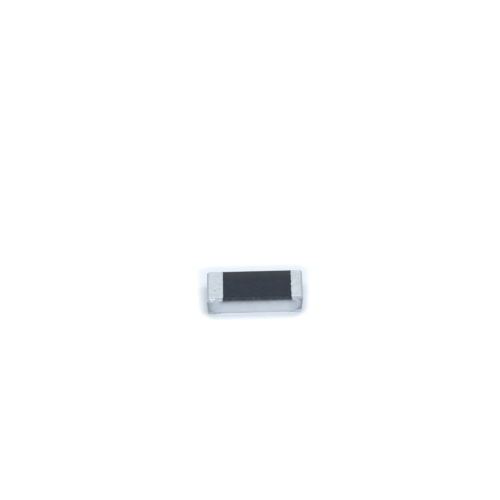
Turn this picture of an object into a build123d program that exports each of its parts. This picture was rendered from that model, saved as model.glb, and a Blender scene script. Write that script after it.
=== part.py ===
from build123d import *
import os

# A thick-film chip resistor of size 1206. Sizes are in millimetres. X runs along the chip from its left
# terminal to its right one, Y runs across it and Z is up. The origin is under the chip's middle, on the
# plane that its two soldering faces stand on.

# Overall size, over the tin
chip_length = 3.10
chip_width = 1.58

# Ceramic block. The scribed grooves that it was snapped along leave a bevel on every upper edge. Below
# its bevel each end leans in towards the foot.
ceramic_thickness = 0.553
long_bevel_width = 0.045
long_bevel_depth = 0.138
end_bevel_width = 0.05
end_bevel_depth = 0.07
end_lean = 0.06
foot_bevel_width = 0.08
foot_bevel_height = 0.09

# Thicknesses of the printed and plated layers
electrode_thickness = 0.006
film_thickness = 0.010
glass_thickness = 0.008
overcoat_thickness = 0.014
edge_thickness = 0.003
nickel_thickness = 0.004
tin_thickness = 0.012

# Black overcoat. It is printed a little to the right of the middle and runs down both long bevels.
overcoat_length = 2.21
overcoat_shift = 0.075
overcoat_lip = 0.012

# How far the overcoat covers the glass and the glass covers the film
glass_end_cover = 0.02
glass_side_margin = 0.04
film_cover = 0.03
electrode_lap = 0.10

# Laser trim: a cut in from the front edge of the film, then along it
trim_kerf = 0.05
trim_x = -0.35
trim_depth = 0.62
trim_run = 0.45

# Terminals. A reach is measured inwards from the chip's outer end. The metal's rim starts at the brow,
# just under the top, and runs down the long bevel to the shoulder at its foot. On the side walls it is
# a curve from there through the waist to the foot, at the ceramic's underside. The edge electrodes
# leave a bare length of the electrodes to the plating.
underside_reach = 0.45
bare_top_length = 0.12
bare_underside_length = 0.20
waist_height = 0.22
brow_depth = 0.015
brow_reach_left = 0.28
shoulder_reach_left = 0.22
waist_reach_left = 0.16
foot_reach_left = 0.25
brow_reach_right = 0.30
shoulder_reach_right = 0.12
waist_reach_right = 0.16
foot_reach_right = 0.27
tin_edge_radius = 0.024

# How far the tin runs on past the nickel on the side walls, and the nickel past the edge electrode
tin_cover = 0.035
nickel_cover = 0.015

# Levels
edge_growth = electrode_thickness + edge_thickness
nickel_growth = edge_growth + nickel_thickness
tin_growth = nickel_growth + tin_thickness
ceramic_bottom = tin_growth
ceramic_top = ceramic_bottom + ceramic_thickness
groove_floor = ceramic_top - long_bevel_depth
electrode_top = ceramic_top + electrode_thickness
film_top = electrode_top + film_thickness
glass_top = film_top + glass_thickness
overcoat_top = glass_top + overcoat_thickness

# Lengths and widths that follow from the sizes above
ceramic_length = chip_length - 2 * tin_growth
ceramic_width = chip_width - 2 * tin_growth
flat_length = ceramic_length - 2 * end_bevel_width
flat_width = ceramic_width - 2 * long_bevel_width
leaned_length = ceramic_length - 2 * end_lean
foot_length = leaned_length - 2 * foot_bevel_width
overcoat_left = overcoat_shift - overcoat_length / 2
overcoat_right = overcoat_shift + overcoat_length / 2
glass_length = overcoat_length - 2 * (abs(overcoat_shift) + glass_end_cover)
glass_width = flat_width - 2 * glass_side_margin
film_length = glass_length - 2 * film_cover
film_width = glass_width - 2 * film_cover
electrode_gap = film_length - 2 * electrode_lap

LEFT = -1
RIGHT = 1
# How far a cutting shape runs past what it cuts
beyond = chip_width


def slab(x_range, width, z_range):
    """A flat block across the chip's middle line."""
    x_low, x_high = sorted(x_range)
    z_low, z_high = z_range
    plate = Box(x_high - x_low, width, z_high - z_low)
    return Pos((x_low + x_high) / 2, 0, (z_low + z_high) / 2) * plate


def mirrored(half):
    """The closed outline of which half is given, from its middle line and round to it again."""
    other_half = [(-across, up) for across, up in reversed(half)]
    return make_face(Polyline(*half, *other_half, close=True))


def block(growth):
    """The ceramic's block, with every face moved outwards by the growth."""
    side_view = mirrored([
        (foot_length / 2, ceramic_bottom),
        (leaned_length / 2, ceramic_bottom + foot_bevel_height),
        (ceramic_length / 2, ceramic_top - end_bevel_depth),
        (flat_length / 2, ceramic_top),
    ])
    end_view = mirrored([
        (ceramic_width / 2, ceramic_bottom),
        (ceramic_width / 2, groove_floor),
        (flat_width / 2, ceramic_top),
    ])
    if growth:
        side_view = offset(side_view, growth, kind=Kind.INTERSECTION)
        end_view = offset(end_view, growth, kind=Kind.INTERSECTION)
    along = extrude(Plane.XZ * side_view, chip_width, both=True)
    across = extrude(Plane.YZ * end_view, chip_length, both=True)
    return along & across


def end_x(side, reach):
    """X of the place that lies this far in from the outer end of the chip."""
    return side * (chip_length / 2 - reach)


def terminal_space(side, top_reach, bottom_reach, rim_inset, side_inset):
    """The space round one end that a layer of the terminal may fill. On the walls it ends at the tin's
    curved rim, drawn back by the rim inset, and it takes in the whole width on top. Underneath it is
    drawn back from the ceramic's sides by the side inset."""
    if side == LEFT:
        reaches = (foot_reach_left, waist_reach_left, shoulder_reach_left, brow_reach_left)
    else:
        reaches = (foot_reach_right, waist_reach_right, shoulder_reach_right, brow_reach_right)
    foot, waist, shoulder, brow = [end_x(side, reach - rim_inset) for reach in reaches]
    outside = end_x(side, -beyond)
    top = end_x(side, top_reach)
    rim = ThreePointArc(
        (foot, ceramic_bottom),
        (waist, ceramic_bottom + waist_height),
        (shoulder, groove_floor),
    )
    rest = Polyline(
        (shoulder, groove_floor),
        (brow, ceramic_top - brow_depth),
        (top, ceramic_top),
        (top, ceramic_top + beyond),
        (outside, ceramic_top + beyond),
        (outside, -beyond),
        (foot, -beyond),
        (foot, ceramic_bottom),
    )
    walls = extrude(Plane.XZ * make_face(rim + rest), chip_width, both=True)
    underside = slab(
        (outside, end_x(side, bottom_reach)),
        ceramic_width - 2 * side_inset,
        (-beyond, ceramic_bottom))
    return walls + underside


def top_electrode(side):
    """The print on the flat top that the film laps onto."""
    return slab(
        (side * electrode_gap / 2, side * flat_length / 2), flat_width, (ceramic_top, electrode_top))


def bottom_electrode(side):
    """The print on the underside, which the plating overgrows by its own thickness."""
    rim = nickel_thickness + tin_thickness
    return slab(
        (end_x(side, underside_reach - rim), side * foot_length / 2),
        ceramic_width - 2 * rim,
        (ceramic_bottom - electrode_thickness, ceramic_bottom))


def edge_electrode(side, top_reach, under):
    """The metal round the end, from the top electrode to the bottom one."""
    space = terminal_space(
        side,
        top_reach - bare_top_length,
        underside_reach - bare_underside_length,
        tin_cover + nickel_cover,
        nickel_thickness + tin_thickness)
    return (block(edge_growth) & space) - under


def nickel_barrier(side, top_reach, under):
    """Plating on all the silver that the overcoat leaves bare."""
    space = terminal_space(
        side, top_reach, underside_reach - tin_thickness, tin_cover, tin_thickness)
    return (block(nickel_growth) & space) - under


def tin_plating(side, top_reach, under):
    """The outermost plating, with rounded edges."""
    outside = block(tin_growth)
    # A larger radius would cut through the tin at its corners
    radius = min(tin_edge_radius, 2.2 * tin_thickness)
    outside = fillet(outside.edges(), radius)
    return (outside & terminal_space(side, top_reach, underside_reach, 0, 0)) - under


def trim_cut():
    """The kerf that the laser leaves in the glass and the film."""
    front = -flat_width / 2
    turn = -film_width / 2 + trim_depth
    plunge = Pos(trim_x, (front + turn) / 2) * Rectangle(trim_kerf, turn - front)
    run = Pos(trim_x + trim_run / 2, turn) * Rectangle(trim_run + trim_kerf, trim_kerf)
    return Pos(0, 0, ceramic_top) * extrude(plunge + run, overcoat_top - ceramic_top)


def resistor_film():
    """A ribbon on the ceramic that steps up onto both electrodes."""
    riser = electrode_gap / 2 - film_thickness
    ribbon = mirrored([
        (electrode_gap / 2, ceramic_top),
        (electrode_gap / 2, electrode_top),
        (film_length / 2, electrode_top),
        (film_length / 2, film_top),
        (riser, film_top),
        (riser, ceramic_top + film_thickness),
    ])
    return extrude(Plane.XZ * ribbon, film_width / 2, both=True)


def glass_undercoat(under):
    """The glass print that seals the film."""
    glass = slab((-glass_length / 2, glass_length / 2), glass_width, (ceramic_top, glass_top))
    return glass - under


def black_overcoat(under):
    """The outer coat, which fills the trim cut and thins out down the long bevels."""
    section = mirrored([
        (flat_width / 2, ceramic_top),
        (ceramic_width / 2, groove_floor),
        (ceramic_width / 2, groove_floor + overcoat_lip),
        (flat_width / 2, overcoat_top),
    ])
    coat = extrude(Plane.YZ * section, overcoat_length / 2, both=True)
    return Pos(overcoat_shift, 0, 0) * coat - under


def write(name, solid):
    """Writes one node to its own STEP file."""
    solid.label = name
    export_step(solid, f"parts/{name}.step")


def main():
    os.makedirs("parts", exist_ok=True)
    ceramic = block(0)
    write("ceramic_substrate", ceramic)

    top_left = top_electrode(LEFT)
    top_right = top_electrode(RIGHT)
    write("top_electrode_left", top_left)
    write("top_electrode_right", top_right)

    kerf = trim_cut()
    whole_film = resistor_film()
    film = whole_film - kerf
    glass = glass_undercoat(top_left + top_right + whole_film + kerf)
    coat = black_overcoat(top_left + top_right + film + glass)
    write("resistor_film", film)
    write("glass_undercoat", glass)
    write("black_overcoat", coat)

    ends = (
        ("left", LEFT, top_left, overcoat_left),
        ("right", RIGHT, top_right, overcoat_right),
    )
    for name, side, top, coat_edge in ends:
        top_reach = chip_length / 2 - side * coat_edge
        bottom = bottom_electrode(side)
        core = ceramic + top + bottom
        edge = edge_electrode(side, top_reach, core)
        nickel = nickel_barrier(side, top_reach, core + edge)
        tin = tin_plating(side, top_reach, core + edge + nickel)
        write(f"bottom_electrode_{name}", bottom)
        write(f"edge_electrode_{name}", edge)
        write(f"nickel_barrier_{name}", nickel)
        write(f"tin_plating_{name}", tin)


main()
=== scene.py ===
"""Close-up of a thick-film chip resistor: white ceramic, black coat and tin-plated ends.

The pieces are modelled in millimetres, and each finished one is brought down to metres.
"""
import contextlib
import math
import random

import bmesh
import bpy
from bpy.props import FloatProperty, FloatVectorProperty, PointerProperty
from mathutils import Matrix, Vector


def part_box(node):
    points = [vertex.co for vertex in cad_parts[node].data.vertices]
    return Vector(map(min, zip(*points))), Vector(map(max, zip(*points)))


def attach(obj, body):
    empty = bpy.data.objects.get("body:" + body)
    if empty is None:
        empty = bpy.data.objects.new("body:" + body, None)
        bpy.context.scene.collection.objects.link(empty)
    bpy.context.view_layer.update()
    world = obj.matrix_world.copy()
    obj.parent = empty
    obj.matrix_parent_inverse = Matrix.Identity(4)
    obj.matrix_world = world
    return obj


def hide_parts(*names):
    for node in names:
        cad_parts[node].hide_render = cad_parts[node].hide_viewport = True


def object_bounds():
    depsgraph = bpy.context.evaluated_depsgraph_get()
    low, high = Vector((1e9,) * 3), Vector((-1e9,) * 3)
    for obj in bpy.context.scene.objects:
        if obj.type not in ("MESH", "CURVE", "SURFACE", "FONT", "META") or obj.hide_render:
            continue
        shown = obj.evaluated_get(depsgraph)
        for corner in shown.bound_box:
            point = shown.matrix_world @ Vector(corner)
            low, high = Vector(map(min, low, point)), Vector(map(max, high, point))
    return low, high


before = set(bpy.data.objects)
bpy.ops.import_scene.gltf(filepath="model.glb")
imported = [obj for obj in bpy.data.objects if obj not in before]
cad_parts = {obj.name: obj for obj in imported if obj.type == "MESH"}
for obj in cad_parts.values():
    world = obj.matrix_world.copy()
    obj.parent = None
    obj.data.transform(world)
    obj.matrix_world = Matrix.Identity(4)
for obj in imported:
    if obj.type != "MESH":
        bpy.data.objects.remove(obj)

bl_info = {
    "name": "Chip Resistor",
    "version": (1, 0, 0),
    "blender": (4, 5, 0),
    "location": "3D View > Sidebar > Chip Resistor",
    "description": "Models a plated chip resistor round its measured frame and sets it on a white stage",
    "category": "Add Mesh",
}

CAD_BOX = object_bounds()
MM = 0.001
LEFT = -1
RIGHT = 1
SIDE_NAMES = {LEFT: "left", RIGHT: "right"}


def node_box(node):
    """The lowest and highest corner of a node of the frame, in millimetres."""
    low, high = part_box(node)
    return low / MM, high / MM


CERAMIC_LOW, CERAMIC_HIGH = node_box("ceramic_substrate")
COAT_LOW, COAT_HIGH = node_box("black_overcoat")
TIN_HIGH = node_box("tin_plating_right")[1]
TOP_PRINT_HIGH = node_box("top_electrode_right")[1]
FOOT_PRINT_HIGH = node_box("bottom_electrode_right")[1]
# Where the long bevels end on the walls, and the coat with them
GROOVE_FLOOR = COAT_LOW.z
# The metal's whole thickness over the ceramic
PLATING = CERAMIC_LOW.z
# Well past the chip on every side
FAR = 2.0
# Faces that meet at a smaller angle are shaded as one
SMOOTH_ANGLE = math.radians(40)


def length(name, description, millimetres):
    """A size in the sidebar. Its value is in metres, as in the rest of the scene."""
    return FloatProperty(
        name=name, description=description, default=millimetres * MM, min=0.0, precision=6,
        unit="LENGTH", subtype="DISTANCE")


def colour(name, description, red, green, blue):
    """A colour in the sidebar."""
    return FloatVectorProperty(
        name=name, description=description, default=(red, green, blue), min=0.0, max=1.0, size=3,
        subtype="COLOR")


class ChipSizes(bpy.types.PropertyGroup):
    """Sizes that the frame's boxes don't give."""

    end_bevel_depth: length(
        "End bevel depth", "How far the scribed bevel at each end runs down the ceramic", 0.07)
    end_lean: length(
        "End lean", "How far each end leans in from its upper bevel down to its lower one", 0.06)
    left_lean: length(
        "Left lean", "Lean of the left terminal, whose tin is thicker towards its foot", 0.03)
    foot_bevel_height: length(
        "Foot bevel height", "How far the lower bevel at each end runs up the ceramic", 0.09)
    land_reach: length(
        "Land reach", "How far each terminal reaches in on the underside", 0.45)
    waist_height: length(
        "Waist height", "Height of the metal's narrowest place over the ceramic's underside", 0.22)
    shoulder_left: length(
        "Left shoulder", "Reach of the left terminal at the foot of the long bevel", 0.22)
    bevel_left: length("Left bevel", "Reach of the left terminal just under the flat top", 0.28)
    waist_left: length("Left waist", "Narrowest reach of the left terminal on the walls", 0.16)
    foot_left: length("Left foot", "Reach of the left terminal at the ceramic's underside", 0.25)
    shoulder_right: length(
        "Right shoulder", "Reach of the right terminal at the foot of the long bevel", 0.12)
    bevel_right: length("Right bevel", "Reach of the right terminal just under the flat top", 0.30)
    waist_right: length("Right waist", "Narrowest reach of the right terminal on the walls", 0.16)
    foot_right: length("Right foot", "Reach of the right terminal at the ceramic's underside", 0.27)
    tuck: length("Tuck", "How far the tin runs in under the rim of the black coat", 0.055)
    inner_overlap: length(
        "Inner overlap", "How far the terminals are modelled into the ceramic, before it is cut out", 0.04)
    coat_voxel: length("Coat grain", "Size of the mesh on the black coat", 0.010)
    tin_voxel: length("Tin grain", "Size of the mesh on the terminals", 0.010)
    ceramic_voxel: length("Ceramic grain", "Size of the mesh on the ceramic", 0.014)


class ChipColours(bpy.types.PropertyGroup):
    """Colours of the chip's visible finishes."""

    coat: colour("Coat", "Body of the black coat", 0.006, 0.014, 0.027)
    coat_dust: colour("Coat dust", "Palest tone of the black coat", 0.042, 0.048, 0.054)
    # The tin is the lit copy; the dull tin is its shaded copy, partly a duller skin and partly painted
    # shade on the slopes and walls
    tin: colour("Tin", "Matte tin on the flat faces", 0.78, 0.85, 0.91)
    tin_dull_and_shaded: colour("Dull tin", "Tin on slopes and walls", 0.40, 0.435, 0.475)
    ceramic: colour("Ceramic", "White alumina", 0.79, 0.85, 0.93)
    # The ceramic shade is also the painted shade next to the metal
    ceramic_shade: colour("Ceramic shade", "Pores and grey stains of the alumina", 0.60, 0.66, 0.74)


class StageSettings(bpy.types.PropertyGroup):
    """Camera and lights."""

    elevation: FloatProperty(
        name="Elevation", description="Height of the camera over the floor, as an angle",
        default=math.radians(34.6), subtype="ANGLE", unit="ROTATION")
    azimuth: FloatProperty(
        name="Azimuth", description="Turn of the camera round the chip, from straight in front",
        default=0.0, subtype="ANGLE", unit="ROTATION")
    roll: FloatProperty(
        name="Roll", description="Turn of the camera about its own line of sight",
        default=math.radians(-1.45), subtype="ANGLE", unit="ROTATION")
    distance: length("Distance", "From the camera to the chip", 105.0)
    picture_width: length("Picture width", "Width of the view at the chip", 16.19)
    chip_across: FloatProperty(
        name="Chip across", description="Place of the chip in the picture, from its left edge",
        default=254.85 / 500, min=0.0, max=1.0)
    chip_down: FloatProperty(
        name="Chip down", description="Place of the chip in the picture, from its top edge",
        default=291.35 / 500, min=0.0, max=1.0)
    horizon_light: FloatProperty(
        name="Horizon light", description="Strength of the room's light along the floor",
        default=0.55, min=0.0)
    zenith_light: FloatProperty(
        name="Zenith light", description="Strength of the room's light from straight above",
        default=0.90, min=0.0)
    lamp_light: FloatProperty(
        name="Lamp light", description="Strength of the large lamp over the chip",
        default=0.9, min=0.0)
    floor_glow: FloatProperty(
        name="Floor glow", description="White that the floor adds where it is seen",
        default=0.30, min=0.0, max=1.0)


def activate(piece):
    """Makes one piece the active one and selects it alone."""
    bpy.ops.object.select_all(action="DESELECT")
    bpy.context.view_layer.objects.active = piece
    piece.select_set(True)


@contextlib.contextmanager
def edit_mode(piece):
    """Edit mode on one piece, with all of its mesh selected and nothing else."""
    activate(piece)
    bpy.ops.object.mode_set(mode="EDIT")
    bpy.ops.mesh.select_mode(type="VERT")
    bpy.ops.mesh.select_all(action="SELECT")
    yield
    bpy.ops.object.mode_set(mode="OBJECT")


def select(test):
    """In edit mode, selects the vertices that pass the test, and nothing else."""
    bpy.ops.mesh.select_all(action="DESELECT")
    mesh = bmesh.from_edit_mesh(bpy.context.edit_object.data)
    for vertex in mesh.verts:
        if test(vertex):
            vertex.select_set(True)
    mesh.select_flush_mode()
    bmesh.update_edit_mesh(bpy.context.edit_object.data)


def start_block(name, low, high):
    """A box between two corners."""
    bpy.ops.object.select_all(action="DESELECT")
    low, high = Vector(low), Vector(high)
    bpy.ops.mesh.primitive_cube_add(size=1, location=(low + high) / 2, scale=high - low)
    piece = bpy.context.active_object
    piece.name = name
    piece.data.name = name
    bpy.ops.object.transform_apply(location=True, rotation=True, scale=True)
    return piece


def start_ball(middle, radii, segments):
    """A ball, or one squeezed along some of its axes."""
    bpy.ops.object.select_all(action="DESELECT")
    bpy.ops.mesh.primitive_uv_sphere_add(
        segments=segments, ring_count=segments // 2, radius=1, location=middle, scale=radii)
    return bpy.context.active_object


def cut(piece, point, normal):
    """Cuts away what lies beyond a plane and closes the cut."""
    with edit_mode(piece):
        bpy.ops.mesh.bisect(
            plane_co=point, plane_no=normal, use_fill=True, clear_outer=True, threshold=1e-6)


def slice_across(point, normal):
    """In edit mode, adds edges where a plane crosses the mesh."""
    bpy.ops.mesh.select_all(action="SELECT")
    bpy.ops.mesh.bisect(plane_co=point, plane_no=normal, threshold=1e-6)


def modify(piece, kind, **settings):
    """Adds a modifier and applies it."""
    activate(piece)
    modifier = piece.modifiers.new(kind.lower(), kind)
    for name, value in settings.items():
        setattr(modifier, name, value)
    bpy.ops.object.modifier_apply(modifier=modifier.name)


def subtract(piece, cutter):
    """Cuts one solid out of another and throws the cutter away."""
    modify(piece, "BOOLEAN", operation="DIFFERENCE", solver="MANIFOLD", object=cutter)
    bpy.data.objects.remove(cutter)


def join(piece, addition):
    """Joins another solid to one."""
    modify(piece, "BOOLEAN", operation="UNION", solver="MANIFOLD", object=addition)
    bpy.data.objects.remove(addition)


def group(piece, name, test, fade=0):
    """Names the vertices that pass the test, so that a modifier can act on them alone. The group can fade
    out over its neighbours."""
    with edit_mode(piece):
        select(test)
        bpy.ops.object.vertex_group_add()
        bpy.ops.object.vertex_group_assign()
        if fade:
            bpy.ops.mesh.select_all(action="SELECT")
            bpy.ops.object.vertex_group_smooth(group_select_mode="ACTIVE", factor=0.5, repeat=fade)
    piece.vertex_groups.active.name = name


def roughen(piece, grain, height, where="", direction="NORMAL", hard=False, contrast=1.0):
    """Moves the surface in, or back along an axis, by up to the height, in lumps of the grain's size."""
    lumps = bpy.data.textures.new("lumps", "CLOUDS")
    lumps.noise_scale = grain
    lumps.noise_depth = 2
    lumps.noise_type = "HARD_NOISE" if hard else "SOFT_NOISE"
    lumps.contrast = contrast
    modify(
        piece, "DISPLACE", texture=lumps, texture_coords="LOCAL", strength=height, mid_level=1.0,
        vertex_group=where, direction=direction)
    bpy.data.textures.remove(lumps)


def bevels(lean):
    """The ceramic's slopes, for a lean of its ends: the kind of each, a point on it and its outward
    normal."""
    sizes = bpy.context.scene.chip_sizes
    side, end, top, bottom = CERAMIC_HIGH.y, CERAMIC_HIGH.x, CERAMIC_HIGH.z, CERAMIC_LOW.z
    flat_y, flat_x, foot_x = TOP_PRINT_HIGH.y, TOP_PRINT_HIGH.x, FOOT_PRINT_HIGH.x
    end_depth = sizes.end_bevel_depth / MM
    foot_height = sizes.foot_bevel_height / MM
    leaning_height = top - end_depth - bottom - foot_height
    planes = []
    for sign in (LEFT, RIGHT):
        planes.append((
            "long bevel",
            Vector((0, sign * flat_y, top)),
            Vector((0, sign * (top - GROOVE_FLOOR), side - flat_y)).normalized()))
        planes.append((
            "end bevel",
            Vector((sign * flat_x, 0, top)),
            Vector((sign * end_depth, 0, end - flat_x)).normalized()))
        planes.append((
            "leaning end",
            Vector((sign * end, 0, top - end_depth)),
            Vector((sign * leaning_height, 0, -lean)).normalized()))
        planes.append((
            "foot bevel",
            Vector((sign * foot_x, 0, bottom)),
            Vector((sign * foot_height, 0, foot_x - end + lean)).normalized()))
    return planes


def bevelled_block(name, x_low, x_high, growth=0.0, extra=None, lean=None):
    """A length of the ceramic's block, with its faces moved outwards by the growth. The extra moves some
    kinds of slope further, and its ends can be given another lean."""
    piece = start_block(
        name,
        (x_low, CERAMIC_LOW.y - growth, CERAMIC_LOW.z - growth),
        (x_high, CERAMIC_HIGH.y + growth, CERAMIC_HIGH.z + growth))
    further = extra or {}
    if lean is None:
        lean = bpy.context.scene.chip_sizes.end_lean / MM
    for kind, point, normal in bevels(lean):
        cut(piece, point + normal * (growth + further.get(kind, 0.0)), normal)
    return piece


def ceramic_block(name):
    """The whole ceramic, with its bevels."""
    return bevelled_block(name, CERAMIC_LOW.x, CERAMIC_HIGH.x)


def finish_piece(piece, node, material):
    """Brings a piece down to metres and has it stand for its node."""
    activate(piece)
    bpy.ops.transform.resize(value=(MM, MM, MM), center_override=(0, 0, 0))
    bpy.ops.object.transform_apply(location=True, rotation=True, scale=True)
    bpy.ops.object.shade_smooth_by_angle(angle=SMOOTH_ANGLE)
    piece.vertex_groups.clear()
    piece.data.materials.clear()
    piece.data.materials.append(material)
    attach(piece, "root")
    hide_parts(node)


class Finish:
    """A procedural material, with its patterns sized in millimetres."""

    def __init__(self, name):
        self.material = bpy.data.materials.new(name)
        self.material.use_nodes = True
        self.tree = self.material.node_tree
        self.shader = self.tree.nodes["Principled BSDF"]
        self.coordinates = self.add("ShaderNodeTexCoord")
        self.millimetres = self.mapping((1, 1, 1))

    def add(self, kind, **values):
        """A node, with its own settings."""
        node = self.tree.nodes.new(kind)
        for name, value in values.items():
            setattr(node, name, value)
        return node

    def wire(self, output, target, socket):
        """Joins an output to a named or numbered input."""
        self.tree.links.new(output, target.inputs[socket])

    def mapping(self, stretch):
        """Object coordinates in millimetres, squeezed by the stretch along each axis."""
        node = self.add("ShaderNodeMapping")
        node.inputs["Scale"].default_value = [along / MM for along in stretch]
        self.wire(self.coordinates.outputs["Object"], node, "Vector")
        return node.outputs["Vector"]

    def noise(self, grain, detail=4.0, roughness=0.55, along=None):
        """Cloudy noise, whose lumps are about as large as the grain."""
        node = self.add("ShaderNodeTexNoise")
        node.inputs["Scale"].default_value = 1 / grain
        node.inputs["Detail"].default_value = detail
        node.inputs["Roughness"].default_value = roughness
        self.wire(along or self.millimetres, node, "Vector")
        return node.outputs["Fac"]

    def cells(self, grain):
        """Cellular noise, whose cells are as large as the grain."""
        node = self.add("ShaderNodeTexVoronoi")
        node.inputs["Scale"].default_value = 1 / grain
        self.wire(self.millimetres, node, "Vector")
        return node.outputs["Distance"]

    def threads(self, axis):
        """The even marks that a printing screen's threads leave along an axis."""
        node = self.add("ShaderNodeTexWave", wave_type="BANDS", bands_direction=axis)
        for name, number in (("Scale", 4.2), ("Distortion", 1.2), ("Detail", 1.0)):
            node.inputs[name].default_value = number
        self.wire(self.millimetres, node, "Vector")
        return node.outputs["Fac"]

    def spread(self, value, low, high, to_low=0.0, to_high=1.0, smooth=False):
        """Stretches a range of values over another one, and holds it at both ends. A smooth one sets off
        and comes to rest gently."""
        node = self.add("ShaderNodeMapRange", interpolation_type="SMOOTHSTEP" if smooth else "LINEAR")
        self.wire(value, node, "Value")
        for name, number in (
                ("From Min", low), ("From Max", high), ("To Min", to_low), ("To Max", to_high)):
            node.inputs[name].default_value = number
        return node.outputs["Result"]

    def blend(self, factor, first, second, blend_type="MIX"):
        """Mixes two colours. Each is a colour or an output."""
        node = self.add("ShaderNodeMix", data_type="RGBA", blend_type=blend_type)
        if isinstance(factor, float):
            node.inputs[0].default_value = factor
        else:
            self.wire(factor, node, 0)
        for number, value in ((6, first), (7, second)):
            if isinstance(value, bpy.types.NodeSocket):
                self.wire(value, node, number)
            else:
                node.inputs[number].default_value = (*value, 1.0)
        return node.outputs[2]

    def maths(self, operation, first, second=None):
        """Arithmetic on outputs or numbers."""
        node = self.add("ShaderNodeMath", operation=operation)
        for number, value in enumerate((first, second)):
            if isinstance(value, bpy.types.NodeSocket):
                self.wire(value, node, number)
            elif value is not None:
                node.inputs[number].default_value = value
        return node.outputs[0]

    def beyond(self, low, high, place=None):
        """Distance in millimetres outside an upright rectangle, seen from above."""
        middle = [(a + b) / 2 for a, b in zip(low, high)]
        half = [(b - a) / 2 for a, b in zip(low, high)]
        steps = (
            ("SUBTRACT", (*middle, 0.0)), ("ABSOLUTE", None), ("SUBTRACT", (*half, 0.0)),
            ("MULTIPLY", (1.0, 1.0, 0.0)), ("MAXIMUM", (0.0, 0.0, 0.0)), ("LENGTH", None))
        value = place or self.millimetres
        for operation, operand in steps:
            node = self.add("ShaderNodeVectorMath", operation=operation)
            self.wire(value, node, 0)
            if operand:
                node.inputs[1].default_value = operand
            value = node.outputs["Value" if operation == "LENGTH" else "Vector"]
        return value

    def ramp(self, value, stops):
        """A grey tone that runs through the stops, each a value and its tone."""
        low, high = stops[0][0], stops[-1][0]
        node = self.add("ShaderNodeValToRGB")
        points = node.color_ramp.elements
        while len(points) < len(stops):
            points.new(0.5)
        for point, (at, tone) in zip(points, stops):
            point.position = (at - low) / (high - low)
            point.color = (tone, tone, tone, 1.0)
        self.wire(self.spread(value, low, high), node, "Fac")
        return node.outputs["Color"]

    def place(self, axis):
        """Place along an axis of the chip, in millimetres."""
        node = self.add("ShaderNodeSeparateXYZ")
        self.wire(self.millimetres, node, 0)
        return node.outputs[axis]

    def facing(self, axis):
        """How far the surface faces along an axis of the chip, from -1 to 1."""
        node = self.add("ShaderNodeSeparateXYZ")
        self.wire(self.coordinates.outputs["Normal"], node, 0)
        return node.outputs[axis]

    def bump(self, height, millimetres, strength=1.0, under=None):
        """Raises the surface by up to that many millimetres, over an earlier bump."""
        node = self.add("ShaderNodeBump")
        node.inputs["Strength"].default_value = strength
        node.inputs["Distance"].default_value = millimetres * MM
        self.wire(height, node, "Height")
        if under:
            self.wire(under, node, "Normal")
        return node.outputs["Normal"]

    def surface(self, tone, roughness, normal, metallic=0.0, specular=0.5):
        """Wires the patterns to the shader and sets its constant sockets."""
        self.wire(tone, self.shader, "Base Color")
        self.wire(roughness, self.shader, "Roughness")
        self.wire(normal, self.shader, "Normal")
        self.shader.inputs["Metallic"].default_value = metallic
        self.shader.inputs["Specular IOR Level"].default_value = specular
        return self.material


def shaded(tone, factor):
    """A colour, darkened or brightened, and white at most."""
    return [min(1.0, factor * channel) for channel in tone]


def tin_walls(tin, along, height):
    """Tone of the metal on the walls: dull, with painted shade most of all near the chip's corners, and
    painted light and shade on the feet.
    """
    colours = bpy.context.scene.chip_colours
    # Painted shade: the walls darken towards the chip's outer corners
    outward = tin.spread(tin.maths("ABSOLUTE", tin.maths("ADD", along, 0.02)), 1.32, 1.50)
    wall = tin.blend(outward, shaded(colours.tin_dull_and_shaded, 1.70), colours.tin_dull_and_shaded)
    # A painted shadow runs as a slanting streak over the right foot, with painted light from the floor
    # below it
    across_corner = tin.maths("SUBTRACT", tin.maths("MULTIPLY", along, 0.38), height)
    painted_shadow_streak = tin.ramp(across_corner, ((0.32, 1.0), (0.37, 0.77), (0.415, 0.77), (0.44, 1.0)))
    wall = tin.blend(1.0, wall, painted_shadow_streak, "MULTIPLY")
    right_foot_painted_light = tin.spread(across_corner, 0.415, 0.455, 0.0, 0.95)
    wall = tin.blend(right_foot_painted_light, wall, shaded(colours.tin, 1.12))
    # Painted shade darkens the left foot, down to a painted bright edge where it stands on the floor
    left_end = tin.spread(along, -1.36, -1.24, 1.0, 0.0)
    left_foot_painted_shade = tin.maths("MULTIPLY", tin.spread(height, 0.03, 0.14, 1.0, 0.0), left_end)
    wall = tin.blend(left_foot_painted_shade, wall, shaded(colours.tin_dull_and_shaded, 0.84))
    left_edge_painted_light = tin.maths("MULTIPLY", tin.spread(height, 0.03, 0.11, 0.95, 0.0), left_end)
    return tin.blend(left_edge_painted_light, wall, colours.tin)


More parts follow.
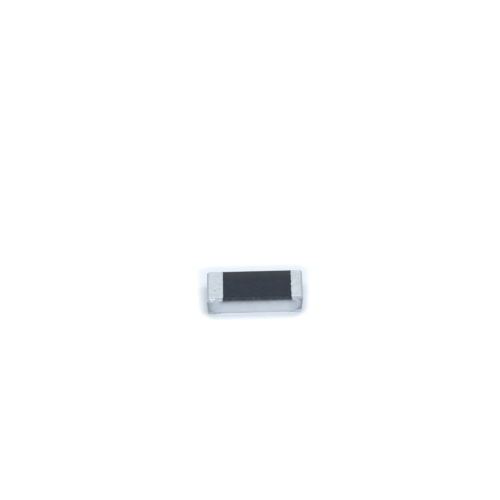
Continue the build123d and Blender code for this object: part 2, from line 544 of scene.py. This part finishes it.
def tin_tops(tin, along, height, walls):
    """Tone of the metal that faces up, laid over the walls: painted bright as if lit from above, with
    painted highlights on the slopes of the left end and on its lumps."""
    colours = bpy.context.scene.chip_colours
    cloud = tin.spread(tin.noise(0.13, detail=5.0), 0.35, 0.66)
    bright = tin.blend(cloud, shaded(colours.tin, 0.90), colours.tin)
    # Painted highlight on the slopes of the left end
    left_end = tin.spread(along, -1.30, -1.26, 1.0, 0.0)
    slope = tin.spread(tin.facing("Z"), 0.55, 0.85, 1.0, 0.0)
    painted_highlight_slopes = tin.maths("MULTIPLY", slope, left_end)
    tops = tin.blend(painted_highlight_slopes, bright, shaded(colours.tin, 1.15))
    # Painted highlight on the front of the left end's lumps
    front = tin.spread(tin.place("Y"), -0.784, -0.774, 1.0, 0.0)
    lumps = tin.maths("MULTIPLY", tin.spread(height, 0.452, 0.470), front)
    lumps = tin.maths("MULTIPLY", lumps, left_end)
    # Painted light: the bright upward tone starts above the walls, a little lower at the left end than at
    # the right one
    lowered = tin.maths("ADD", height, tin.spread(along, -1.0, 1.0, 0.035, -0.005))
    painted_lit_upward = tin.maths(
        "MULTIPLY", tin.spread(tin.facing("Z"), 0.12, 0.40), tin.spread(lowered, 0.485, 0.515))
    return tin.blend(tin.maths("MAXIMUM", painted_lit_upward, lumps), walls, tops)


def tin_dark_spot(tin):
    """Tone of the small dark spot in the left terminal's top."""
    distance = tin.add("ShaderNodeVectorMath", operation="DISTANCE")
    distance.inputs[1].default_value = (-1.27, -0.34, TIN_HIGH.z)
    tin.wire(tin.millimetres, distance, 0)
    ragged = tin.spread(tin.noise(0.035, detail=3.0), 0.3, 0.7, -0.03, 0.02)
    return tin.ramp(
        tin.maths("ADD", distance.outputs["Value"], ragged), ((0.008, 0.70), (0.024, 0.88), (0.05, 1.0)))


def tin_finish():
    """Matte electroplated tin: fine bright grains, soft dimples, and a darker tone on the slopes and walls
    that is partly a duller skin and partly painted shade, with painted highlights.
    """
    colours = bpy.context.scene.chip_colours
    tin = Finish("matte_tin")
    along, height = tin.place("X"), tin.place("Z")
    base = tin_tops(tin, along, height, tin_walls(tin, along, height))
    # Painted shade: the end faces lie between the lit and the shaded tone
    end_faces_painted_shade = tin.spread(tin.maths("ABSOLUTE", tin.facing("X")), 0.45, 0.80)
    base = tin.blend(end_faces_painted_shade, base, tin.blend(0.58, colours.tin_dull_and_shaded, colours.tin))
    # The rim that faces the chip's middle is thin, and painted light makes it pale on top, over the shade
    # of its step
    inward = tin.maths("MULTIPLY", tin.facing("X"), tin.maths("SIGN", along))
    rim = tin.maths(
        "MULTIPLY", tin.spread(inward, -0.5, -0.2, 1.0, 0.0), tin.spread(height, 0.45, 0.55, 0.35, 1.0))
    base = tin.blend(rim, base, colours.tin)
    base = tin.blend(1.0, base, tin_dark_spot(tin), "MULTIPLY")
    grains = tin.spread(tin.cells(0.012), 0.1, 0.9, 1.0, 0.88)
    blotches = tin.spread(tin.noise(0.04, detail=3.0), 0.30, 0.60, 0.88, 1.0)
    speckled = tin.blend(1.0, base, tin.maths("MULTIPLY", grains, blotches), "MULTIPLY")
    roughness = tin.spread(tin.noise(0.05), 0.3, 0.7, 0.36, 0.52)
    dimples = tin.bump(tin.noise(0.07, detail=2.0), 0.0045, strength=0.6)
    grain = tin.bump(tin.noise(0.009, detail=3.0), 0.0011, strength=0.55, under=dimples)
    scratches = tin.noise(0.012, detail=2.0, along=tin.mapping((0.06, 1, 1)))
    scratched = tin.bump(tin.spread(scratches, 0.60, 0.72), 0.0006, strength=0.35, under=grain)
    return tin.surface(speckled, roughness, scratched, metallic=1.0)


def coat_finish():
    """Black epoxy: screen-printed, with a faint weave of the screen and a satin skin."""
    colours = bpy.context.scene.chip_colours
    coat = Finish("black_coat")
    patches = coat.spread(coat.noise(0.22), 0.36, 0.68)
    base = coat.blend(patches, colours.coat, shaded(colours.coat, 1.5))
    # It is paler towards its rear edge
    pale = coat.ramp(coat.place("Y"), ((0.25, 0.0), (0.68, 0.60), (0.715, 0.95)))
    fine = coat.spread(coat.cells(0.014), 0.2, 0.8, 0.0, 0.15)
    dusted = coat.blend(coat.maths("ADD", pale, fine), base, colours.coat_dust)
    # Where the coat runs thin down the slopes, the white of the ceramic shows through in specks
    slope = coat.spread(coat.facing("Z"), 0.45, 0.75, 1.0, 0.0)
    specks = coat.spread(coat.noise(0.035, roughness=0.7), 0.50, 0.70)
    thin = coat.maths("ADD", 0.035, coat.maths("MULTIPLY", specks, 0.20))
    thinner = coat.spread(coat.place("Z"), GROOVE_FLOOR, GROOVE_FLOOR + 0.07, 0.30, 0.0)
    thin = coat.maths("MULTIPLY", slope, coat.maths("ADD", thin, thinner))
    speckled = coat.blend(thin, dusted, colours.ceramic_shade)
    roughness = coat.spread(coat.noise(0.06), 0.3, 0.7, 0.46, 0.60)
    swell = coat.bump(coat.noise(0.16, detail=3.0), 0.006, strength=0.5)
    weave = coat.maths("MULTIPLY", coat.threads("X"), coat.threads("Y"))
    printed = coat.bump(weave, 0.0012, strength=0.5, under=swell)
    grain = coat.bump(coat.noise(0.012, detail=3.0), 0.0012, strength=0.5, under=printed)
    return coat.surface(speckled, roughness, grain, specular=0.28)


def shade_under_coat(ceramic, along):
    """How strong the painted shade under the coat is, and its tone: the walls darken upwards towards the
    coat.
    It fades out past the coat's ends, and a little towards the right, and frays out down the walls."""
    drifting = ceramic.spread(ceramic.noise(0.12, detail=3.0), 0.3, 0.7, -0.012, 0.012)
    stippled = ceramic.spread(ceramic.noise(0.016, roughness=0.7), 0.3, 0.7, -0.045, 0.045)
    frayed = ceramic.maths("ADD", ceramic.place("Z"), ceramic.maths("ADD", drifting, stippled))
    tone = ceramic.ramp(frayed, (
        (0.05, 1.0), (0.14, 0.98), (0.20, 0.94), (0.24, 0.915), (0.28, 0.875), (0.32, 0.82),
        (0.36, 0.755), (0.40, 0.60), (0.44, 0.37)))
    past_coat = ceramic.beyond((COAT_LOW.x, -FAR), (COAT_HIGH.x, FAR))
    wall = ceramic.spread(ceramic.facing("Z"), 0.10, 0.30, 1.0, 0.0)
    strength = ceramic.maths(
        "MAXIMUM", ceramic.spread(past_coat, 0.0, 0.01, 1.0, 0.0),
        ceramic.maths("MULTIPLY", wall, ceramic.spread(past_coat, 0.0, 0.20, 1.0, 0.0)))
    return ceramic.maths("MULTIPLY", strength, ceramic.spread(along, -0.5, 0.6, 1.0, 0.86)), tone


def ceramic_finish():
    """Sintered alumina: white, fine-grained, with grey grains and pores, and painted shade next to the
    metal and under the coat.
    """
    colours = bpy.context.scene.chip_colours
    ceramic = Finish("white_alumina")
    cloud = ceramic.spread(ceramic.noise(0.14, detail=5.0), 0.35, 0.70)
    base = ceramic.blend(cloud, shaded(colours.ceramic, 0.955), colours.ceramic)
    grains = ceramic.spread(ceramic.noise(0.012, detail=3.0, roughness=0.7), 0.57, 0.68)
    grey = ceramic.blend(ceramic.maths("MULTIPLY", grains, 0.45), base, colours.ceramic_shade)
    # Painted shade next to the metal, most of all on the upright walls
    along = ceramic.place("X")
    upright = ceramic.spread(ceramic.facing("Z"), 0.05, 0.25, 1.0, 0.45)
    near_metal_shade_mask = ceramic.maths(
        "MULTIPLY", ceramic.spread(ceramic.maths("ABSOLUTE", along), 1.00, 1.38), upright)
    painted_shade_near_metal = ceramic.blend(near_metal_shade_mask, grey, shaded(colours.ceramic_shade, 0.95))
    # Painted shade on the walls, darkening upwards towards the coat
    strength, painted_shade_tone = shade_under_coat(ceramic, along)
    shaded_below_coat = ceramic.blend(strength, painted_shade_near_metal, ceramic.blend(1.0, painted_shade_near_metal, painted_shade_tone, "MULTIPLY"))
    roughness = ceramic.spread(ceramic.noise(0.03), 0.3, 0.7, 0.52, 0.70)
    hackle = ceramic.bump(ceramic.noise(0.05, detail=5.0, roughness=0.65), 0.005, strength=0.5)
    grain = ceramic.bump(ceramic.cells(0.009), 0.0014, strength=0.5, under=hackle)
    return ceramic.surface(shaded_below_coat, roughness, grain, specular=0.35)


def film_finish(name, low, high, grain, roughness, metallic=0.0):
    """One of the thin layers inside: two tones of its colour in a fine grain."""
    film = Finish(name)
    tone = film.blend(film.spread(film.noise(grain), 0.35, 0.65), low, high)
    rough = film.spread(film.noise(grain * 2), 0.3, 0.7, roughness - 0.06, roughness + 0.08)
    fine = film.bump(film.noise(grain * 0.6), 0.001, strength=0.5)
    return film.surface(tone, rough, fine, metallic=metallic)


def paper_finish(glow_strength):
    """White paper, which the camera sees a little brighter than it is lit, except over a painted shadow
    round the chip, and with a painted pool of light under the chip."""
    paper = Finish("white_paper")
    tone = paper.blend(paper.noise(0.3), (0.81, 0.85, 0.90), (0.83, 0.87, 0.92))
    rough = paper.spread(paper.noise(0.5), 0.3, 0.7, 0.85, 0.95)
    paper.surface(tone, rough, paper.bump(paper.noise(0.2), 0.001), specular=0.0)
    # The painted shadow round the chip narrows towards the viewer
    narrowing = paper.add("ShaderNodeCombineXYZ")
    width = paper.spread(paper.place("Y"), -0.9, 1.8, 1.09, 0.94)
    paper.wire(paper.maths("MULTIPLY", paper.place("X"), width), narrowing, "X")
    paper.wire(paper.place("Y"), narrowing, "Y")
    past_shade = paper.beyond((-1.34, -0.60), (1.24, 1.50), narrowing.outputs["Vector"])
    clear = paper.spread(past_shade, 0.26, 0.78, smooth=True)
    # A painted pool of light on the floor under the chip, seen only by the camera, stands in for light let
    # through the ceramic
    below = paper.spread(paper.beyond((-1.15, -0.70), (1.20, 0.70)), 0.0, 0.16, 1.0, 0.0)
    bright = paper.maths("MAXIMUM", clear, below)
    seen = paper.maths("MULTIPLY", paper.add("ShaderNodeLightPath").outputs["Is Camera Ray"], bright)
    glow = paper.add("ShaderNodeEmission")
    paper.wire(paper.blend(below, (1.0, 0.90, 0.80), (0.96, 0.97, 1.0)), glow, "Color")
    paper.wire(paper.maths("MULTIPLY", seen, glow_strength), glow, "Strength")
    both = paper.add("ShaderNodeAddShader")
    paper.wire(paper.shader.outputs[0], both, 0)
    paper.wire(glow.outputs[0], both, 1)
    paper.wire(both.outputs[0], paper.tree.nodes["Material Output"], "Surface")
    return paper.material


class CHIP_OT_ceramic(bpy.types.Operator):
    """Model the ceramic block, with its scribed bevels and rough snapped walls"""

    bl_idname = "chip.ceramic"
    bl_label = "Ceramic Block"

    def execute(self, context):
        sizes = context.scene.chip_sizes
        voxel = sizes.ceramic_voxel / MM
        piece = ceramic_block("ceramic_body")
        modify(piece, "REMESH", mode="VOXEL", voxel_size=voxel)
        wall = CERAMIC_HIGH.y - voxel / 2
        wall_top = GROOVE_FLOOR + voxel
        wall_end = CERAMIC_HIGH.x - 0.22
        foot = CERAMIC_LOW.z + 0.05
        foot_end = TIN_HIGH.x - sizes.land_reach / MM - 0.06

        def is_snapped(vertex):
            """Whether it lies on a long wall, and not on the edges that the terminals wrap round."""
            along, across, up = abs(vertex.co.x), abs(vertex.co.y), vertex.co.z
            on_wall = across > wall and up < wall_top and along < wall_end
            return on_wall and (along < foot_end or up > foot)

        group(piece, "snapped", is_snapped, fade=10)
        roughen(piece, 0.16, 0.012, where="snapped")
        roughen(piece, 0.04, 0.006, where="snapped", hard=True)
        finish_piece(piece, "ceramic_substrate", ceramic_finish())
        return {"FINISHED"}


class CHIP_OT_overcoat(bpy.types.Operator):
    """Model the black coat, which rolls off down the long bevels and ends in a scalloped rim"""

    bl_idname = "chip.overcoat"
    bl_label = "Black Overcoat"

    def execute(self, context):
        voxel = context.scene.chip_sizes.coat_voxel / MM
        # It starts deeper than the coat, so that the smoothing doesn't round off the lip
        spare = Vector((0, 0, 0.04))
        piece = start_block("overcoat", COAT_LOW - spare, COAT_HIGH)
        shoulder = TOP_PRINT_HIGH.y
        # Half of the cross section, from the crown down to the lip on the wall
        outline = (
            (shoulder - 0.10, COAT_HIGH.z),
            (shoulder + 0.004, COAT_HIGH.z - 0.002),
            (shoulder + 0.014, COAT_HIGH.z - 0.012),
            (COAT_HIGH.y, GROOVE_FLOOR + 0.050),
        )
        for sign in (LEFT, RIGHT):
            for (y_one, z_one), (y_two, z_two) in zip(outline, outline[1:]):
                cut(piece, (0, sign * y_one, z_one), (0, sign * (z_one - z_two), y_two - y_one))
        modify(piece, "REMESH", mode="VOXEL", voxel_size=voxel)
        modify(piece, "SMOOTH", factor=0.5, iterations=2)
        rim = 0.6 * voxel
        left_end, right_end = COAT_LOW.x + rim, COAT_HIGH.x - rim
        group(piece, "left_rim", lambda v: v.co.x < left_end)
        group(piece, "right_rim", lambda v: v.co.x > right_end)
        group(piece, "flanks", lambda v: abs(v.co.y) > shoulder)
        group(piece, "left_flanks", lambda v: abs(v.co.y) > shoulder and v.co.x < left_end)
        group(piece, "right_flanks", lambda v: abs(v.co.y) > shoulder and v.co.x > right_end)
        # Both rims are eaten into, and run outwards down the slopes
        for where, height, contrast in (
                ("left_rim", -0.012, 2.0), ("right_rim", 0.032, 3.0),
                ("left_flanks", 0.050, 1.0), ("right_flanks", -0.060, 1.0)):
            roughen(piece, 0.05, height, where=where, direction="X", contrast=contrast)
        roughen(piece, 0.04, 0.005, where="flanks", contrast=2.0)
        roughen(piece, 0.30, 0.004)
        # Two notches in the right rim
        for across in (-0.08, -0.66):
            middle = (COAT_HIGH.x + 0.008, across, COAT_HIGH.z - 0.005)
            subtract(piece, start_ball(middle, (0.035, 0.035, 0.035), 24))
        subtract(piece, ceramic_block("core"))
        subtract(piece, start_block("spare", (-FAR, -FAR, 0), (FAR, FAR, GROOVE_FLOOR)))
        finish_piece(piece, "black_overcoat", coat_finish())
        return {"FINISHED"}


def rim_reach(side, height, top_reach):
    """How far in the metal reaches on the walls, at a height over the floor."""
    sizes = bpy.context.scene.chip_sizes
    name = SIDE_NAMES[side]
    bevel, shoulder, waist, foot = [
        getattr(sizes, f"{part}_{name}") / MM for part in ("bevel", "shoulder", "waist", "foot")]
    low, high = CERAMIC_LOW.z, GROOVE_FLOOR
    brow = CERAMIC_HIGH.z - 0.015
    if height > brow:
        return top_reach
    if height > high:
        return shoulder + (height - high) / (brow - high) * (bevel - shoulder)
    # The parabola through the three reaches
    middle = low + sizes.waist_height / MM
    return (
        foot * (height - middle) * (height - high) / ((low - middle) * (low - high))
        + waist * (height - low) * (height - high) / ((middle - low) * (middle - high))
        + shoulder * (height - low) * (height - middle) / ((high - low) * (high - middle)))


def wall_window(side, front, top_reach):
    """A cutter with the outline of the bare wall next to one terminal, at the front or the back. It is
    flared, so that the metal thins out towards its rim."""
    overlap = bpy.context.scene.chip_sizes.inner_overlap / MM
    end = TIN_HIGH.x
    start = end - top_reach
    wall = CERAMIC_HIGH.y
    outside = wall + 0.25
    flare = 0.36
    # The tin hangs over the edge of the flat top a little
    top = CERAMIC_HIGH.z - 0.014
    lip = 0.010
    floor = CERAMIC_LOW.z + overlap
    x_low, x_high = sorted((0.0, side * start))
    y_low, y_high = sorted((front * (TOP_PRINT_HIGH.y - overlap), front * outside))
    piece = start_block("window", (x_low, y_low, floor), (x_high, y_high, top))
    steps = 14
    levels = [GROOVE_FLOOR - (GROOVE_FLOOR - floor) * step / steps for step in range(steps + 1)]
    levels = [top - lip, (CERAMIC_HIGH.z + GROOVE_FLOOR) / 2, *levels]
    close = 1e-4
    ripple = 0.006
    chance = random.Random(3 * side + front + 5)
    with edit_mode(piece):
        for level in levels[:-1]:
            slice_across((0, 0, level), (0, 0, 1))
        slice_across((0, front * wall, 0), (0, 1, 0))
        for level in levels:
            move = end - rim_reach(side, level, top_reach) - start
            select(lambda v: abs(v.co.z - level) < close and abs(v.co.x) > start - close)
            bpy.ops.transform.translate(value=(side * (move + chance.uniform(-ripple, ripple)), 0, 0))
        select(lambda v: abs(v.co.y) > outside - close and abs(v.co.x) > start / 2
               and v.co.z < top - close)
        bpy.ops.transform.translate(value=(side * flare, 0, 0))
    return piece


class CHIP_OT_terminals(bpy.types.Operator):
    """Model the two tin-plated ends, each a bent skin round the ceramic with soft edges"""

    bl_idname = "chip.terminals"
    bl_label = "Tin Terminals"

    def execute(self, context):
        finish = tin_finish()
        for side in (LEFT, RIGHT):
            self.model(context.scene.chip_sizes, side, finish)
        return {"FINISHED"}

    def model(self, sizes, side, finish):
        """One terminal."""
        voxel = sizes.tin_voxel / MM
        outer = side * TIN_HIGH.x
        coat_edge = COAT_LOW.x if side == LEFT else COAT_HIGH.x
        top_reach = abs(outer - coat_edge)
        extra = {"end bevel": 0.004}
        lean = None
        if side == LEFT:
            # The tin is thicker towards this foot
            extra.update({"leaning end": 0.006, "foot bevel": 0.060})
            lean = sizes.left_lean / MM
        # On the right the soldering face reaches in further than the top
        land = side * (TIN_HIGH.x - sizes.land_reach / MM)
        inner = min(coat_edge, land, key=abs)
        piece = bevelled_block(
            f"{SIDE_NAMES[side]}_terminal", min(outer, inner), max(outer, inner), PLATING, extra, lean)
        if inner != coat_edge:
            x_low, x_high = sorted((0.0, coat_edge))
            land_top = CERAMIC_LOW.z + sizes.inner_overlap / MM
            subtract(piece, start_block("over_land", (x_low, -FAR, land_top), (x_high, FAR, FAR)))
        for front in (LEFT, RIGHT):
            subtract(piece, wall_window(side, front, top_reach))
        self.trim_underside(piece, side, sizes)
        self.tuck_under_coat(piece, side, coat_edge, sizes.tuck / MM)
        if side == LEFT:
            self.add_lumps(piece)
        modify(piece, "REMESH", mode="VOXEL", voxel_size=voxel)
        modify(piece, "SMOOTH", factor=0.5, iterations=2)
        roughen(piece, 0.14, 0.005)
        roughen(piece, 0.035, 0.002)
        subtract(piece, ceramic_block("core"))
        subtract(piece, start_block("floor_cutter", (-FAR, -FAR, -FAR), (FAR, FAR, 0.0005)))
        finish_piece(piece, f"tin_plating_{SIDE_NAMES[side]}", finish)

    def add_lumps(self, piece):
        """Three lumps of tin that run together on the left one's front bevel."""
        across = CERAMIC_LOW.y + 0.008
        half_depth = 0.032
        for along, up, half_length, half_height in (
                (-1.43, 0.516, 0.060, 0.054), (-1.37, 0.506, 0.076, 0.050), (-1.30, 0.526, 0.045, 0.034)):
            join(piece, start_ball((along, across, up), (half_length, half_depth, half_height), 32))

    def trim_underside(self, piece, side, sizes):
        """Cuts the underside back to the soldering face, no wider than the ceramic past the foot."""
        end = TIN_HIGH.x
        land = end - sizes.land_reach / MM
        foot = end - getattr(sizes, f"foot_{SIDE_NAMES[side]}") / MM
        top = CERAMIC_LOW.z + sizes.inner_overlap / MM
        wall = CERAMIC_HIGH.y
        for reach, y_low, y_high in ((land, -FAR, FAR), (foot, -FAR, -wall), (foot, wall, FAR)):
            x_low, x_high = sorted((0.0, side * reach))
            subtract(piece, start_block("trim", (x_low, y_low, -FAR), (x_high, y_high, top)))

    def tuck_under_coat(self, piece, side, coat_edge, tuck):
        """Runs the top's rim on under the black coat, a little lower."""
        x_low, x_high = sorted((coat_edge - side * tuck, coat_edge + side * tuck))
        half_width = TOP_PRINT_HIGH.y + 0.012
        bottom, top = CERAMIC_HIGH.z - 0.03, TIN_HIGH.z - 0.008
        join(piece, start_block("tucked_rim", (x_low, -half_width, bottom), (x_high, half_width, top)))


class CHIP_OT_inner_layers(bpy.types.Operator):
    """Give the printed and plated layers inside the chip their finishes"""

    bl_idname = "chip.inner_layers"
    bl_label = "Inner Layers"

    def execute(self, context):
        silver = film_finish(
            "silver_print", (0.66, 0.65, 0.62), (0.78, 0.77, 0.74), 0.02, 0.55, metallic=1.0)
        edge_metal = film_finish(
            "edge_metal", (0.56, 0.55, 0.53), (0.68, 0.67, 0.65), 0.02, 0.5, metallic=1.0)
        nickel = film_finish(
            "nickel_plate", (0.58, 0.56, 0.52), (0.68, 0.66, 0.62), 0.015, 0.35, metallic=1.0)
        finishes = {
            "resistor_film": film_finish(
                "resistive_film", (0.045, 0.045, 0.05), (0.09, 0.09, 0.1), 0.03, 0.6),
            "glass_undercoat": film_finish(
                "sealing_glass", (0.26, 0.33, 0.29), (0.36, 0.43, 0.39), 0.06, 0.18),
        }
        for name in SIDE_NAMES.values():
            finishes[f"top_electrode_{name}"] = silver
            finishes[f"bottom_electrode_{name}"] = silver
            finishes[f"edge_electrode_{name}"] = edge_metal
            finishes[f"nickel_barrier_{name}"] = nickel
        for node, finish in finishes.items():
            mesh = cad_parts[node].data
            mesh.materials.clear()
            mesh.materials.append(finish)
        return {"FINISHED"}


class CHIP_OT_stage(bpy.types.Operator):
    """Set up the white floor, the soft light and the camera"""

    bl_idname = "chip.stage"
    bl_label = "White Stage"

    def execute(self, context):
        settings = context.scene.stage_settings
        self.add_floor(settings)
        self.light_room(context.scene, settings)
        self.add_lamp(settings)
        self.add_camera(context.scene, settings)
        context.scene.view_settings.view_transform = "Standard"
        return {"FINISHED"}

    def add_floor(self, settings):
        """A flat sheet of white paper."""
        bpy.ops.object.select_all(action="DESELECT")
        bpy.ops.mesh.primitive_plane_add(size=0.4)
        floor = bpy.context.active_object
        floor.name = "floor"
        floor.data.materials.append(paper_finish(settings.floor_glow))

    def light_room(self, scene, settings):
        """Light from all round, strongest from above."""
        world = bpy.data.worlds.new("light_room")
        world.use_nodes = True
        scene.world = world
        tree = world.node_tree
        background = tree.nodes["Background"]
        background.inputs["Color"].default_value = (0.97, 0.985, 1.0, 1.0)
        place = tree.nodes.new("ShaderNodeTexCoord")
        parts = tree.nodes.new("ShaderNodeSeparateXYZ")
        ramp = tree.nodes.new("ShaderNodeMapRange")
        ramp.inputs["To Min"].default_value = settings.horizon_light
        ramp.inputs["To Max"].default_value = settings.zenith_light
        tree.links.new(place.outputs["Generated"], parts.inputs[0])
        tree.links.new(parts.outputs["Z"], ramp.inputs["Value"])
        tree.links.new(ramp.outputs["Result"], background.inputs["Strength"])

    def add_lamp(self, settings):
        """One very large soft lamp, high up and a little behind the chip's right end."""
        lamp = bpy.data.lights.new("overhead_lamp", "SUN")
        lamp.energy = settings.lamp_light
        lamp.angle = math.radians(75)
        carrier = bpy.data.objects.new("overhead_lamp", lamp)
        carrier.rotation_euler = Vector((-0.15, -0.12, -1.0)).to_track_quat("-Z", "Y").to_euler()
        bpy.context.scene.collection.objects.link(carrier)

    def add_camera(self, scene, settings):
        """A long lens, rolled a little, with the chip below the middle of the picture."""
        camera = bpy.data.cameras.new("camera")
        camera.sensor_width = 36
        camera.lens = camera.sensor_width * settings.distance / settings.picture_width
        camera.clip_start = 0.01
        camera.clip_end = 10
        holder = bpy.data.objects.new("camera", camera)
        scene.collection.objects.link(holder)
        chip = (CAD_BOX[0] + CAD_BOX[1]) / 2
        back = Vector((
            math.sin(settings.azimuth) * math.cos(settings.elevation),
            -math.cos(settings.azimuth) * math.cos(settings.elevation),
            math.sin(settings.elevation)))
        level = (-back).to_track_quat("-Z", "Y").to_matrix() @ Matrix.Rotation(settings.roll, 3, "Z")
        aside = (0.5 - settings.chip_across) * settings.picture_width
        above = (settings.chip_down - 0.5) * settings.picture_width
        aim = level.col[0] * aside + level.col[1] * above - back * settings.distance
        turn = level.col[2].rotation_difference(-aim).to_matrix() @ level
        holder.location = chip + back * settings.distance
        holder.rotation_euler = turn.to_euler()
        scene.camera = holder


class CHIP_PT_sidebar(bpy.types.Panel):
    """Sizes, colours and steps of the chip"""

    bl_label = "Chip Resistor"
    bl_idname = "CHIP_PT_sidebar"
    bl_space_type = "VIEW_3D"
    bl_region_type = "UI"
    bl_category = "Chip Resistor"

    def draw(self, context):
        layout = self.layout
        for name in GROUPS:
            settings = getattr(context.scene, name)
            box = layout.box()
            for setting in type(settings).__annotations__:
                box.prop(settings, setting)
        for step in STEPS:
            layout.operator(step.bl_idname)


STEPS = (CHIP_OT_ceramic, CHIP_OT_overcoat, CHIP_OT_terminals, CHIP_OT_inner_layers, CHIP_OT_stage)
GROUPS = {"chip_sizes": ChipSizes, "chip_colours": ChipColours, "stage_settings": StageSettings}
CLASSES = (*GROUPS.values(), *STEPS, CHIP_PT_sidebar)


def register():
    for cls in CLASSES:
        bpy.utils.register_class(cls)
    for name, cls in GROUPS.items():
        setattr(bpy.types.Scene, name, PointerProperty(type=cls))


def unregister():
    for name in GROUPS:
        delattr(bpy.types.Scene, name)
    for cls in reversed(CLASSES):
        bpy.utils.unregister_class(cls)


def main():
    register()
    bpy.ops.chip.ceramic()
    bpy.ops.chip.overcoat()
    bpy.ops.chip.terminals()
    bpy.ops.chip.inner_layers()
    bpy.ops.chip.stage()


if __name__ == "__main__":
    main()
